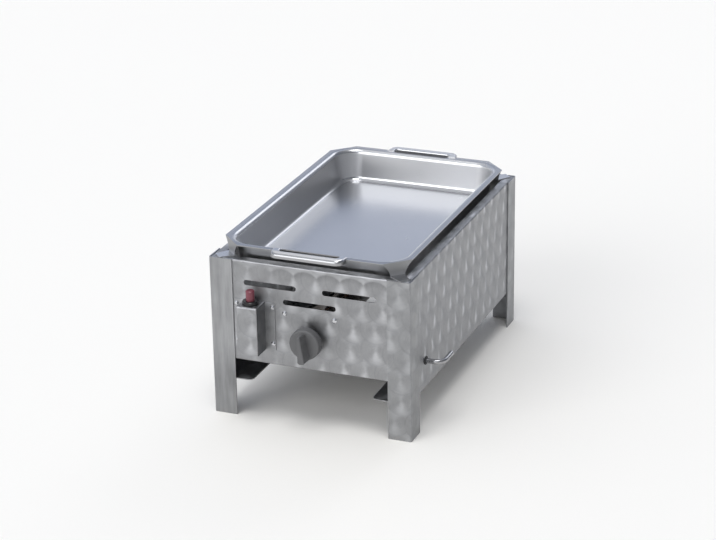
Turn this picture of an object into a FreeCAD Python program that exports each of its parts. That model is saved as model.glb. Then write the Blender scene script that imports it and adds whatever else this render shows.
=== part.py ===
"""Table-top gas roaster: a sheet-steel stand on angle legs, one tube burner and a lift-off pan.

Millimetres, +Z up. The origin is on the floor, in the middle of the four legs. The front faces -Y.
"""
import FreeCAD, Part
import Sketcher
import math
import os

Vector = FreeCAD.Vector
ROOT_HALF = math.sqrt(0.5)

doc = FreeCAD.newDocument("gas_roaster")
sheet = doc.addObject("Spreadsheet::Sheet", "sizes")
nodes = []


class Dim:
    """A size held both as a number and as the spreadsheet expression that it comes from."""

    def __init__(self, value, text):
        self.value = value
        self.text = text

    def __add__(self, other):
        other = as_dim(other)
        return Dim(self.value + other.value, f"({self.text} + {other.text})")

    def __sub__(self, other):
        other = as_dim(other)
        return Dim(self.value - other.value, f"({self.text} - {other.text})")

    def __mul__(self, factor):
        factor = as_dim(factor)
        return Dim(self.value * factor.value, f"({self.text} * {factor.text})")

    def __truediv__(self, divisor):
        divisor = as_dim(divisor)
        return Dim(self.value / divisor.value, f"({self.text} / {divisor.text})")

    def __neg__(self):
        return self * -1


def as_dim(number):
    """A plain number as a Dim, and a Dim as it is."""
    if isinstance(number, Dim):
        return number
    return Dim(number, f"({number!r})")


def size(alias, value):
    """Write one driving dimension into the spreadsheet and return it."""
    size.row += 1
    sheet.set(f"A{size.row}", alias)
    sheet.set(f"B{size.row}", str(value))
    sheet.setAlias(f"B{size.row}", alias)
    return Dim(value, f"sizes.{alias}")


size.row = 0
ZERO = as_dim(0)

# Proportions: a cut's length in sheets, a screw head's crown and shoulder, rounded ends
THROUGH = 3
HEAD_CROWN = 0.6
HEAD_SHOULDER = 0.45
GRIP_ROUNDING = 0.4
PROBE_POINT = 0.4

# Driving dimensions: stand
body_width = size("body_width", 330)
body_depth = size("body_depth", 505)
leg_height = size("leg_height", 262)
leg_flange = size("leg_flange", 38)
leg_sheet = size("leg_sheet", 2)
leg_bend = size("leg_bend", 2.5)
panel_sheet = size("panel_sheet", 1.5)
panel_bend = size("panel_bend", 1)
top_flange = size("top_flange", 14)
flange_gap = size("flange_gap", 0.5)
front_height = size("front_height", 167)
return_flange = size("return_flange", 10)
side_height = size("side_height", 200.5)
bottom_flange = size("bottom_flange", 63)
flange_corner = size("flange_corner", 9)

# Driving dimensions: vent slots
vent_length = size("vent_length", 87)
vent_width = size("vent_width", 8.5)
vent_spread = size("vent_spread", 65)
vent_upper_drop = size("vent_upper_drop", 35.7)
vent_lower_drop = size("vent_lower_drop", 59.7)

# Driving dimensions: pan
rim_side_inset = size("rim_side_inset", 11)
rim_end_inset = size("rim_end_inset", 5.5)
rim_chamfer = size("rim_chamfer", 35)
rim_rise = size("rim_rise", 22.6)
rim_flange = size("rim_flange", 14)
rim_bend = size("rim_bend", 7.5)
pan_sheet = size("pan_sheet", 1.5)
pan_depth = size("pan_depth", 52)
pan_draft = size("pan_draft", 9)
pan_corner = size("pan_corner", 38)
pan_floor_bend = size("pan_floor_bend", 8)
foot_waist = size("foot_waist", 33)
foot_waist_drop = size("foot_waist_drop", 9)
foot_width = size("foot_width", 24)
lip_length = size("lip_length", 24)
lip_end = size("lip_end", 16)

# Driving dimensions: pan handles
handle_width = size("handle_width", 116)
handle_flare = size("handle_flare", 4)
handle_reach = size("handle_reach", 18)
handle_lap = size("handle_lap", 5)
handle_drop = size("handle_drop", 7.6)
handle_sheet = size("handle_sheet", 2)
handle_corner = size("handle_corner", 13)
handle_edge = size("handle_edge", 4.5)
grip_slot_length = size("grip_slot_length", 97)
grip_notch = size("grip_notch", 9)
grip_slot_corner = size("grip_slot_corner", 6)
grip_slot_edge = size("grip_slot_edge", 2.5)
grip_bar = size("grip_bar", 14)

# Driving dimensions: control knob and gas tap
knob_drop = size("knob_drop", 115.5)
knob_radius = size("knob_radius", 25)
knob_taper = size("knob_taper", 0.5)
knob_skirt = size("knob_skirt", 13)
knob_wall = size("knob_wall", 3)
knob_edge = size("knob_edge", 3)
knob_hub = size("knob_hub", 8)
knob_gap = size("knob_gap", 12)
knob_travel = size("knob_travel", 4)
grip_rise = size("grip_rise", 18)
grip_top = size("grip_top", 20)
grip_reach = size("grip_reach", 24.5)
crest_narrow = size("crest_narrow", 4.4)
crest_wide = size("crest_wide", 11.8)
grip_slope = size("grip_slope", 2)
grip_edge = size("grip_edge", 1.2)
knob_lean = size("knob_lean", 5)
spindle_radius = size("spindle_radius", 4)
spindle_flat = size("spindle_flat", 2.6)
spindle_grip = size("spindle_grip", 15)
spindle_depth = size("spindle_depth", 12)
spindle_runout = size("spindle_runout", 1.25)
spindle_hole_gap = size("spindle_hole_gap", 2.5)
running_gap = size("running_gap", 0.05)
contact_gap = size("contact_gap", 0.3)
plunger_radius = size("plunger_radius", 2.5)
plunger_length = size("plunger_length", 20)
bonnet_radius = size("bonnet_radius", 9)
tap_radius = size("tap_radius", 15)
tap_length = size("tap_length", 43)
tap_shoulder = size("tap_shoulder", 30)
outlet_radius = size("outlet_radius", 6)
outlet_length = size("outlet_length", 7)
magnet_rise = size("magnet_rise", 23)
magnet_radius = size("magnet_radius", 9.5)
magnet_length = size("magnet_length", 49)
magnet_web = size("magnet_web", 15.2)
magnet_nut = size("magnet_nut", 5)
magnet_nut_length = size("magnet_nut_length", 8)
inlet_radius = size("inlet_radius", 6.5)
inlet_reach = size("inlet_reach", 30)
inlet_setback = size("inlet_setback", 19)
bracket_box_gap = size("bracket_box_gap", 5)
bracket_height = size("bracket_height", 68)
bracket_sheet = size("bracket_sheet", 2)
bracket_rise = size("bracket_rise", 49.5)
bracket_corner = size("bracket_corner", 6)
hole_gap = size("hole_gap", 0.1)

# Driving dimensions: screws
valve_screw_box_gap = size("valve_screw_box_gap", 16)
valve_screw_rise = size("valve_screw_rise", 37)
valve_screw_radius = size("valve_screw_radius", 2)
valve_screw_head = size("valve_screw_head", 4)
valve_screw_length = size("valve_screw_length", 8)
head_height = size("head_height", 2.4)
box_screw_radius = size("box_screw_radius", 1.75)
box_screw_head = size("box_screw_head", 3.5)
box_screw_length = size("box_screw_length", 6)

# Driving dimensions: igniter box
box_leg_gap = size("box_leg_gap", 2)
box_width = size("box_width", 34.6)
box_depth = size("box_depth", 32)
box_drop = size("box_drop", 63)
box_height = size("box_height", 79)
box_sheet = size("box_sheet", 1.2)
box_bend = size("box_bend", 2)
box_top_bend = size("box_top_bend", 3)
box_flange = size("box_flange", 16.7)
box_flange_step = size("box_flange_step", 1)
box_screw_spread = size("box_screw_spread", 30)
box_screw_upper_inset = size("box_screw_upper_inset", 7)
box_screw_lower_inset = size("box_screw_lower_inset", 11)
igniter_radius = size("igniter_radius", 9)
igniter_shoulder = size("igniter_shoulder", 10.5)
igniter_tail = size("igniter_tail", 9)
igniter_length = size("igniter_length", 41)
collar_radius = size("collar_radius", 12.5)
collar_height = size("collar_height", 6)
collar_lip = size("collar_lip", 5)
collar_chamfer = size("collar_chamfer", 1.25)
button_radius = size("button_radius", 6.8)
button_rise = size("button_rise", 16.5)
button_tail = size("button_tail", 18)
button_travel = size("button_travel", 8)
button_chamfer = size("button_chamfer", 1.6)
lead_hole_drop = size("lead_hole_drop", 13)
lead_hole_radius = size("lead_hole_radius", 4)

# Driving dimensions: burner
burner_radius = size("burner_radius", 19)
burner_wall = size("burner_wall", 1.2)
burner_end_gap = size("burner_end_gap", 52)
slit_length = size("slit_length", 18)
slit_width = size("slit_width", 1.8)
slit_front_margin = size("slit_front_margin", 17)
slit_end_margin = size("slit_end_margin", 22)
slit_count = size("slit_count", 23)
slit_depth = size("slit_depth", 6)
mixer_setback = size("mixer_setback", 8)
mixer_length = size("mixer_length", 47)
mixer_wall = size("mixer_wall", 1.8)
mixer_chamber = size("mixer_chamber", 22)
mixer_throat = size("mixer_throat", 9)
mixer_sleeve = size("mixer_sleeve", 18)
air_window_length = size("air_window_length", 13)
air_window_width = size("air_window_width", 12)
cap_plug = size("cap_plug", 8)
cap_thickness = size("cap_thickness", 2.4)
injector_radius = size("injector_radius", 8)
injector_base = size("injector_base", 11)
injector_nose = size("injector_nose", 3.5)
injector_length = size("injector_length", 20)
jet_radius = size("jet_radius", 0.8)
support_sheet = size("support_sheet", 2)
support_front_inset = size("support_front_inset", 41)
support_rear_inset = size("support_rear_inset", 45)
support_margin = size("support_margin", 35.5)
support_post = size("support_post", 16)
support_shoulder = size("support_shoulder", 34)
support_crown = size("support_crown", 16)
support_neck = size("support_neck", 20)
support_web = size("support_web", 8)
support_tab = size("support_tab", 18)
probe_spread = size("probe_spread", 11)
probe_rise = size("probe_rise", 27)
probe_radius = size("probe_radius", 3)
probe_collar = size("probe_collar", 5)
probe_collar_length = size("probe_collar_length", 5)
probe_tail = size("probe_tail", 15)
probe_nose = size("probe_nose", 10)
probe_tip = size("probe_tip", 17)
thermocouple_tip_radius = size("thermocouple_tip_radius", 1.8)
electrode_tip_radius = size("electrode_tip_radius", 1.1)

# Driving dimensions: pipe and leads
pipe_radius = size("pipe_radius", 4)
pipe_bore = size("pipe_bore", 3)
pipe_bend = size("pipe_bend", 14)
pipe_drop = size("pipe_drop", 39)
pipe_setback = size("pipe_setback", 70)
pipe_start_run = size("pipe_start_run", 34)
pipe_slant_run = size("pipe_slant_run", 44)
pipe_standoff = size("pipe_standoff", 26)
pipe_end_run = size("pipe_end_run", 40)
pipe_nut_radius = size("pipe_nut_radius", 11)
pipe_nut_length = size("pipe_nut_length", 17)
pipe_nut_lap = size("pipe_nut_lap", 7)
grommet_hole = size("grommet_hole", 5.6)
grommet_radius = size("grommet_radius", 7)
grommet_flange = size("grommet_flange", 1.4)
probe_lead_radius = size("probe_lead_radius", 1.1)
spark_lead_radius = size("spark_lead_radius", 2)
lead_bend = size("lead_bend", 9)
lead_run = size("lead_run", 12.6)
lead_setback = size("lead_setback", 27)

# Planes and places that several pieces share
front_bottom = leg_height - front_height
side_bottom = leg_height - side_height
vent_upper = leg_height - vent_upper_drop
vent_lower = leg_height - vent_lower_drop
knob_axis = leg_height - knob_drop
valve_screw_level = knob_axis + valve_screw_rise
bracket_top = knob_axis + bracket_rise
rim_width = body_width - rim_side_inset * 2
rim_length = body_depth - rim_end_inset * 2
rim_height = leg_height + rim_rise
leg_front = -(body_depth / 2)
panel_front = leg_front + leg_sheet
panel_inside = panel_front + panel_sheet
side_face = body_width / 2 - leg_sheet
side_inside = side_face - panel_sheet
bracket_inside = panel_inside + bracket_sheet
rim_under = rim_height - pan_sheet
floor_top = rim_height - pan_depth
floor_under = floor_top - pan_sheet
tap_front = panel_inside
tap_back = tap_front + bracket_sheet + tap_length
outlet_end = tap_back + outlet_length
magnet_level = knob_axis + magnet_rise
magnet_end = tap_front + bracket_sheet + magnet_length
inlet_y = bracket_inside + inlet_setback
flange_top = side_bottom + panel_sheet
mixer_front = tap_back + mixer_setback
burner_front = mixer_front + mixer_length
burner_end = -(panel_inside + burner_end_gap)
burner_length = burner_end - burner_front
support_front = burner_front + support_front_inset
support_rear = burner_end - support_rear_inset
support_half = side_inside - support_margin
slit_start = support_front + slit_front_margin
slit_span = burner_end - slit_end_margin - slit_start
box_side = leg_flange + box_leg_gap + box_flange + box_width / 2 - body_width / 2
box_edge = box_side + box_width / 2 + box_flange
bracket_half = -(box_edge + bracket_box_gap)
valve_screw_spread = -(box_edge + valve_screw_box_gap)
box_top = leg_height - box_drop
box_bottom = box_top - box_height
box_flange_top = box_top - box_flange_step
box_screw_upper = box_flange_top - box_screw_upper_inset
box_screw_lower = box_bottom + box_screw_lower_inset
igniter_bottom = box_top - igniter_length
lead_hole_level = igniter_bottom - lead_hole_drop
box_front = panel_front - box_depth
igniter_y = panel_front - (box_depth - box_sheet) / 2
collar_top = box_top + collar_height
probe_level = knob_axis + probe_rise
pipe_y = leg_front + pipe_setback
pipe_level = knob_axis - pipe_drop
pipe_reach = body_width / 2 + pipe_standoff


def vector(x, y, z):
    """A point from three sizes."""
    return Vector(as_dim(x).value, as_dim(y).value, as_dim(z).value)


def new_body(name, keep=True):
    """A PartDesign body; it becomes a node of the part unless keep is false."""
    body = doc.addObject("PartDesign::Body", name)
    body.Label = name
    if keep:
        nodes.append(body)
    return body


def keep_node(name, feature):
    """Give a finished feature its label and list it as a node."""
    feature.Label = name
    nodes.append(feature)
    return feature


def origin_part(body, role):
    """One of the body's own origin planes or axes."""
    for part in body.Origin.OriginFeatures:
        if part.Role == role:
            return part
    raise ValueError(role)


def place(feature, x, y, z):
    """Bind the three coordinates of a feature's placement."""
    for name, value in (("x", x), ("y", y), ("z", z)):
        feature.setExpression(f"Placement.Base.{name}", as_dim(value).text)


def turn(feature, axis, degrees):
    """Turn a feature about one of the main axes through its own origin."""
    feature.Placement = FreeCAD.Placement(Vector(), FreeCAD.Rotation(axis, degrees))


def new_sketch(body, role, offset=None):
    """An empty sketch on one of the body's origin planes, moved along the plane's normal by offset."""
    sketch = body.newObject("Sketcher::SketchObject", f"{body.Name}_sketch")
    sketch.AttachmentSupport = [(origin_part(body, role), "")]
    sketch.MapMode = "FlatFace"
    if offset is not None:
        sketch.setExpression("AttachmentOffset.Base.z", offset.text)
    return sketch


def flat(place_2d):
    """A sketch point from two sizes."""
    return Vector(as_dim(place_2d[0]).value, as_dim(place_2d[1]).value, 0)


def bind(sketch, constraint, value):
    """Add a dimension to a sketch and tie it to the spreadsheet."""
    index = sketch.addConstraint(constraint)
    sketch.setExpression(f"Constraints[{index}]", value.text)


def pin(sketch, geometry, end, place_2d):
    """Fix one point of a sketch by its two coordinates."""
    for kind, value in zip(("DistanceX", "DistanceY"), place_2d):
        value = as_dim(value)
        bind(sketch, Sketcher.Constraint(kind, -1, 1, geometry, end, value.value), value)


def polygon(sketch, corners):
    """A closed outline of straight edges."""
    first = sketch.GeometryCount
    count = len(corners)
    for index in range(count):
        following = corners[(index + 1) % count]
        sketch.addGeometry(Part.LineSegment(flat(corners[index]), flat(following)), False)
    for index in range(count):
        following = first + (index + 1) % count
        sketch.addConstraint(Sketcher.Constraint("Coincident", first + index, 2, following, 1))
        pin(sketch, first + index, 1, corners[index])


def rectangle(sketch, left, bottom, right, top):
    """A rectangle between two corners."""
    polygon(sketch, [(left, bottom), (right, bottom), (right, top), (left, top)])


def circle(sketch, centre, radius):
    """A full circle."""
    geometry = sketch.addGeometry(Part.Circle(flat(centre), Vector(0, 0, 1), radius.value), False)
    pin(sketch, geometry, 3, centre)
    bind(sketch, Sketcher.Constraint("Radius", geometry, radius.value), radius)


def arc(sketch, centre, radius, start, end):
    """An arc of a circle with a fixed centre; start and end are in degrees."""
    full = Part.Circle(flat(centre), Vector(0, 0, 1), radius.value)
    geometry = sketch.addGeometry(Part.ArcOfCircle(full, math.radians(start), math.radians(end)), False)
    pin(sketch, geometry, 3, centre)
    bind(sketch, Sketcher.Constraint("Radius", geometry, radius.value), radius)
    return geometry


def rounded_outline(sketch, half_x, half_y, radius, centre=(ZERO, ZERO), quarters=4):
    """A rectangle with round corners, or with quarters=2 a slot with half-round ends along X."""
    sweep = 360 // quarters
    turns = [(1, 1), (-1, 1), (-1, -1), (1, -1)] if quarters == 4 else [(1, 0), (-1, 0)]
    first_angle = 0 if quarters == 4 else -90
    arcs = []
    for index, (side_x, side_y) in enumerate(turns):
        middle = (centre[0] + (half_x - radius) * side_x, centre[1] + (half_y - radius) * side_y)
        start = first_angle + sweep * index
        arcs.append(arc(sketch, middle, radius, start, start + sweep))
    for index, geometry in enumerate(arcs):
        following = arcs[(index + 1) % len(arcs)]
        line = Part.LineSegment(sketch.getPoint(geometry, 2), sketch.getPoint(following, 1))
        joint = sketch.addGeometry(line, False)
        sketch.addConstraint(Sketcher.Constraint("Tangent", geometry, 2, joint, 1))
        sketch.addConstraint(Sketcher.Constraint("Tangent", joint, 2, following, 1))


def add_pad(body, sketch, length, both=False, reverse=False):
    """Extrude a sketch; both sides of its plane, or against its normal, on request."""
    pad = body.newObject("PartDesign::Pad", f"{body.Name}_pad")
    pad.Profile = sketch
    pad.setExpression("Length", length.text)
    pad.SideType = "Symmetric" if both else "One side"
    pad.Reversed = reverse
    doc.recompute()
    return pad


def add_pocket(body, sketch, length, both=False, reverse=False):
    """Cut a sketch into the body, and stop if it cut nothing."""
    before = body.Shape.Volume
    pocket = body.newObject("PartDesign::Pocket", f"{body.Name}_pocket")
    pocket.Profile = sketch
    pocket.setExpression("Length", length.text)
    pocket.SideType = "Symmetric" if both else "One side"
    pocket.Reversed = reverse
    doc.recompute()
    if body.Shape.Volume >= before:
        raise RuntimeError(f"a pocket of {body.Label} cuts nothing")
    return pocket


def add_revolution(body, sketch):
    """Turn a sketch in the body's XZ plane about the body's Z axis."""
    revolution = body.newObject("PartDesign::Revolution", f"{body.Name}_turned")
    revolution.Profile = sketch
    revolution.ReferenceAxis = (sketch, ["V_Axis"])
    revolution.Angle = 360
    doc.recompute()
    return revolution


def add_loft(body, sections, kind="Additive", ruled=True):
    """A loft through sketches."""
    loft = body.newObject(f"PartDesign::{kind}Loft", f"{body.Name}_loft")
    loft.Profile = sections[0]
    loft.Sections = sections[1:]
    loft.Ruled = ruled
    doc.recompute()
    return loft


def add_fillet(body, radius, choose):
    """Round the edges of the body that choose(edge) picks."""
    tip = body.Tip
    names = [f"Edge{index + 1}" for index, edge in enumerate(tip.Shape.Edges) if choose(edge)]
    if not names:
        raise RuntimeError(f"no edge of {body.Label} to round")
    fillet = body.newObject("PartDesign::Fillet", f"{body.Name}_fillet")
    fillet.Base = (tip, names)
    fillet.setExpression("Radius", radius.text)
    doc.recompute()
    return fillet


def near(first, second):
    """Whether two lengths agree."""
    return abs(first - as_dim(second).value) < 0.01


def edge_along(axis, **coordinates):
    """A test for straight edges along an axis, at the given coordinates of their middle."""

    def choose(edge):
        middle = edge.CenterOfMass
        box = edge.BoundBox
        spans = {"x": box.XLength, "y": box.YLength, "z": box.ZLength}
        along = spans.pop(axis)
        if along < 0.01 or max(spans.values()) > 0.01:
            return False
        return all(near(getattr(middle, name), value) for name, value in coordinates.items())

    return choose


def any_of(*tests):
    """A test that passes where any of the tests does."""
    return lambda edge: any(test(edge) for test in tests)


def is_level(edge, level):
    """Whether an edge lies at one height."""
    return near(edge.BoundBox.ZMin, level) and near(edge.BoundBox.ZMax, level)


def level_ring(level, largest=None, smallest=None):
    """A test for edges that lie at one height, inside or outside a half-width in X and Y."""

    def choose(edge):
        box = edge.BoundBox
        if not is_level(edge, level):
            return False
        reach_x = max(abs(box.XMin), abs(box.XMax))
        reach_y = max(abs(box.YMin), abs(box.YMax))
        if largest is not None:
            return reach_x < largest[0].value and reach_y < largest[1].value
        return reach_x > smallest[0].value or reach_y > smallest[1].value

    return choose


def turned(name, profile, keep=True):
    """A body turned about its own Z axis from (radius, height) corners."""
    body = new_body(name, keep)
    sketch = new_sketch(body, "XZ_Plane")
    polygon(sketch, profile)
    add_revolution(body, sketch)
    return body


def lay_along_y(body, x, y, z):
    """Point a turned body's axis to the back and place its origin."""
    turn(body, Vector(1, 0, 0), -90)
    place(body, x, y, z)


def make_leg(name, side_x, side_y, degrees):
    """An angle leg; its outer corner is the body's origin."""
    body = new_body(name)
    sketch = new_sketch(body, "XY_Plane")
    corners = [
        (ZERO, ZERO),
        (leg_flange, ZERO),
        (leg_flange, leg_sheet),
        (leg_sheet, leg_sheet),
        (leg_sheet, leg_flange),
        (ZERO, leg_flange),
    ]
    polygon(sketch, corners)
    add_pad(body, sketch, leg_height)
    add_fillet(body, leg_bend, edge_along("z", x=0, y=0))
    turn(body, Vector(0, 0, 1), degrees)
    place(body, body_width / 2 * side_x, body_depth / 2 * side_y, ZERO)


def make_end_panel(name, side):
    """Front or rear panel: a web with an inward top flange and a narrow return at the bottom."""
    body = new_body(name)
    sketch = new_sketch(body, "YZ_Plane")
    outer = panel_front * -side

    def inward(distance):
        """A coordinate measured from the outer face towards the middle."""
        return outer - distance * side

    corners = [
        (outer, front_bottom),
        (inward(return_flange), front_bottom),
        (inward(return_flange), front_bottom + panel_sheet),
        (inward(panel_sheet), front_bottom + panel_sheet),
        (inward(panel_sheet), leg_height - panel_sheet),
        (inward(top_flange), leg_height - panel_sheet),
        (inward(top_flange), leg_height),
        (outer, leg_height),
    ]
    polygon(sketch, corners)
    add_pad(body, sketch, side_inside * 2, both=True)
    inner_bends = any_of(
        edge_along("x", y=inward(panel_sheet), z=leg_height - panel_sheet),
        edge_along("x", y=inward(panel_sheet), z=front_bottom + panel_sheet),
    )
    add_fillet(body, panel_bend, inner_bends)
    outer_bends = any_of(edge_along("x", y=outer, z=leg_height), edge_along("x", y=outer, z=front_bottom))
    add_fillet(body, panel_bend + panel_sheet, outer_bends)
    return body


def cut_front_openings(body):
    """Vent slots, and the holes for the spindle, the screws and the spark lead."""
    vents = new_sketch(body, "XZ_Plane", -panel_front)
    centres = [(-vent_spread, vent_upper), (vent_spread, vent_upper), (ZERO, vent_lower)]
    for centre in centres:
        rounded_outline(vents, vent_length / 2, vent_width / 2, vent_width / 2, centre, quarters=2)
    add_pocket(body, vents, panel_sheet * THROUGH, both=True)
    holes = new_sketch(body, "XZ_Plane", -panel_front)
    circle(holes, (ZERO, knob_axis), spindle_radius + spindle_hole_gap)
    circle(holes, (box_side, lead_hole_level), lead_hole_radius)
    for side in (-1, 1):
        circle(holes, (valve_screw_spread * side, valve_screw_level), valve_screw_radius + hole_gap)
    for x, z in box_screw_places():
        circle(holes, (x, z), box_screw_radius + hole_gap)
    add_pocket(body, holes, panel_sheet * THROUGH, both=True)


def box_screw_places():
    """Centres of the four screws of the igniter box, as X and Z."""
    places = []
    for side in (-1, 1):
        for level in (box_screw_lower, box_screw_upper):
            places.append((box_side + box_screw_spread * side, level))
    return places


def make_side_panel(name, side):
    """Left or right panel: a web with an inward top flange and a wide inward bottom flange."""
    body = new_body(name)
    sketch = new_sketch(body, "XZ_Plane")
    outer = side_face * side
    half_length = body_depth / 2 - leg_sheet

    def inward(distance):
        """A coordinate measured from the outer face towards the middle."""
        return outer - distance * side

    corners = [
        (outer, side_bottom),
        (outer, leg_height),
        (inward(top_flange), leg_height),
        (inward(top_flange), leg_height - panel_sheet),
        (inward(panel_sheet), leg_height - panel_sheet),
        (inward(panel_sheet), flange_top),
        (inward(bottom_flange), flange_top),
        (inward(bottom_flange), side_bottom),
    ]
    polygon(sketch, corners)
    add_pad(body, sketch, half_length * 2, both=True)
    inner_bends = any_of(
        edge_along("y", x=inward(panel_sheet), z=leg_height - panel_sheet),
        edge_along("y", x=inward(panel_sheet), z=flange_top),
    )
    add_fillet(body, panel_bend, inner_bends)
    outer_bends = any_of(edge_along("y", x=outer, z=leg_height), edge_along("y", x=outer, z=side_bottom))
    add_fillet(body, panel_bend + panel_sheet, outer_bends)
    add_fillet(body, flange_corner, edge_along("z", x=inward(bottom_flange)))
    notch = new_sketch(body, "XY_Plane", leg_height + panel_sheet)
    notch_length = top_flange + flange_gap
    for end in (-1, 1):
        near_end = (half_length - notch_length) * end
        far_end = (half_length + flange_gap) * end
        rectangle(notch, inward(panel_sheet), near_end, inward(top_flange + flange_gap), far_end)
    add_pocket(body, notch, panel_sheet * THROUGH + panel_bend)
    return body


def cut_pipe_hole(body):
    """Hole of the gas pipe's bush in a side panel."""
    hole = new_sketch(body, "YZ_Plane", side_face)
    circle(hole, (pipe_y, pipe_level), grommet_hole)
    add_pocket(body, hole, panel_sheet * THROUGH, both=True)


def make_pan():
    """Drawn pan: chamfered rim with a finger notch at both ends, drafted walls and four folded corner feet."""
    body = new_body("pan")
    half_x = rim_width / 2
    half_y = rim_length / 2
    rim = new_sketch(body, "XY_Plane", rim_under)
    corners = []
    for side_x, side_y in ((1, 1), (-1, 1), (-1, -1), (1, -1)):
        on_side = (half_x * side_x, (half_y - rim_chamfer) * side_y)
        on_end = ((half_x - rim_chamfer) * side_x, half_y * side_y)
        corners += [on_side, on_end] if side_x == side_y else [on_end, on_side]
    polygon(rim, corners)
    add_pad(body, rim, pan_sheet)

    mouth_x = half_x - rim_flange
    mouth_y = half_y - rim_flange
    outer = []
    inner = []
    for level, draft, under in ((rim_height, ZERO, rim_under), (floor_top, pan_draft, floor_under)):
        outer_sketch = new_sketch(body, "XY_Plane", under)
        grow = pan_sheet - draft
        rounded_outline(outer_sketch, mouth_x + grow, mouth_y + grow, pan_corner + grow)
        outer.append(outer_sketch)
        inner_sketch = new_sketch(body, "XY_Plane", level)
        rounded_outline(inner_sketch, mouth_x - draft, mouth_y - draft, pan_corner - draft)
        inner.append(inner_sketch)
    add_loft(body, outer)
    add_loft(body, inner, "Subtractive")

    wall_x = mouth_x + pan_sheet * 2
    wall_y = mouth_y + pan_sheet * 2
    add_fillet(body, rim_bend, level_ring(rim_under, largest=(wall_x, wall_y)))
    add_fillet(body, rim_bend + pan_sheet, level_ring(rim_height, largest=(wall_x, wall_y)))
    add_fillet(body, pan_floor_bend, level_ring(floor_top, largest=(wall_x, wall_y)))
    add_fillet(body, pan_floor_bend + pan_sheet, level_ring(floor_under, largest=(wall_x, wall_y)))

    notches = new_sketch(body, "XY_Plane", rim_height)
    for end in (-1, 1):
        rounded_outline(notches, grip_slot_length / 2, grip_notch, grip_slot_corner, (ZERO, half_y * end))
    add_pocket(body, notches, pan_sheet * THROUGH)

    middle_x = half_x - rim_chamfer / 2
    middle_y = half_y - rim_chamfer / 2
    chamfer_length = rim_chamfer * (2 * ROOT_HALF)
    foot_sections = [
        (rim_under, chamfer_length),
        (rim_under - foot_waist_drop, foot_waist),
        (leg_height + pan_sheet, foot_width),
    ]
    for side_x, side_y in ((1, 1), (-1, 1), (-1, -1), (1, -1)):

        def corner_point(along, outward):
            """A point at the rim's corner, by its distance along and out from the chamfer."""
            x = middle_x + (outward - along) * ROOT_HALF
            y = middle_y + (outward + along) * ROOT_HALF
            return (x * side_x, y * side_y)

        sections = []
        for level, width in foot_sections:
            section = new_sketch(body, "XY_Plane", level)
            strip = [
                corner_point(width / -2, ZERO),
                corner_point(width / 2, ZERO),
                corner_point(width / 2, -pan_sheet),
                corner_point(width / -2, -pan_sheet),
            ]
            polygon(section, strip)
            sections.append(section)
        add_loft(body, sections, ruled=False)
        lip = new_sketch(body, "XY_Plane", leg_height)
        outline = [
            corner_point(foot_width / -2, -pan_sheet),
            corner_point(foot_width / -2, pan_sheet),
            corner_point(lip_end / -2, lip_length),
            corner_point(lip_end / 2, lip_length),
            corner_point(foot_width / 2, pan_sheet),
            corner_point(foot_width / 2, -pan_sheet),
        ]
        polygon(lip, outline)
        add_pad(body, lip, pan_sheet)


def make_handle(name, degrees):
    """Pressed loop handle: its ends lap on the rim, its bar is rolled over and its slot is turned down."""
    body = new_body(name)
    rim_edge = rim_length / -2
    lap_edge = rim_edge + handle_lap
    outer_edge = rim_edge - handle_reach
    top = rim_height + handle_sheet
    half = handle_width / 2
    base = half + handle_flare
    outline = new_sketch(body, "XY_Plane", top)
    polygon(outline, [(-base, lap_edge), (-half, outer_edge), (half, outer_edge), (base, lap_edge)])
    add_pad(body, outline, handle_drop, reverse=True)
    outer_corners = any_of(edge_along("z", x=half, y=outer_edge), edge_along("z", x=-half, y=outer_edge))
    add_fillet(body, handle_corner, outer_corners)

    def is_outer_edge(edge):
        """Whether an edge is part of the upper border in front of the lap edge."""
        return is_level(edge, top) and not near(edge.BoundBox.YMin, lap_edge)

    add_fillet(body, handle_edge, is_outer_edge)

    slot_near = outer_edge + grip_bar
    slot_half = grip_slot_length / 2
    behind = lap_edge + handle_sheet
    inside = half - handle_sheet
    inner_edge = outer_edge + handle_sheet
    inner_corner = handle_corner - handle_sheet
    hollow = new_sketch(body, "XY_Plane", top - handle_drop)
    loop = [
        (handle_sheet - base, behind),
        (-inside, inner_edge + inner_corner),
        (inner_corner - inside, inner_edge),
        (inside - inner_corner, inner_edge),
        (inside, inner_edge + inner_corner),
        (base - handle_sheet, behind),
        (slot_half + handle_sheet, behind),
        (slot_half + handle_sheet, slot_near - handle_sheet),
        (-(slot_half + handle_sheet), slot_near - handle_sheet),
        (-(slot_half + handle_sheet), behind),
    ]
    polygon(hollow, loop)
    add_pocket(body, hollow, handle_drop - handle_sheet, reverse=True)
    slot = new_sketch(body, "XY_Plane", top)
    rounded_outline(slot, slot_half, behind - slot_near, grip_slot_corner, (ZERO, behind))
    add_pocket(body, slot, handle_drop * THROUGH, both=True)

    def is_slot_edge(edge):
        """Whether an edge is part of the slot's upper border."""
        box = edge.BoundBox
        reach = max(abs(box.XMin), abs(box.XMax))
        return is_level(edge, top) and reach < slot_half.value + handle_sheet.value

    add_fillet(body, grip_slot_edge, is_slot_edge)
    lap = new_sketch(body, "XY_Plane", rim_height)
    rectangle(lap, -(base + handle_sheet), rim_edge - contact_gap, base + handle_sheet, behind)
    add_pocket(body, lap, handle_drop)
    turn(body, Vector(0, 0, 1), degrees)


def face_front(body):
    """Point a body's Z axis to the front, turned about that axis by the knob's lean."""
    upright = FreeCAD.Rotation(Vector(1, 0, 0), 90)
    lean = FreeCAD.Rotation(Vector(0, 0, 1), knob_lean.value)
    body.Placement = FreeCAD.Placement(Vector(), upright * lean)


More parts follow.
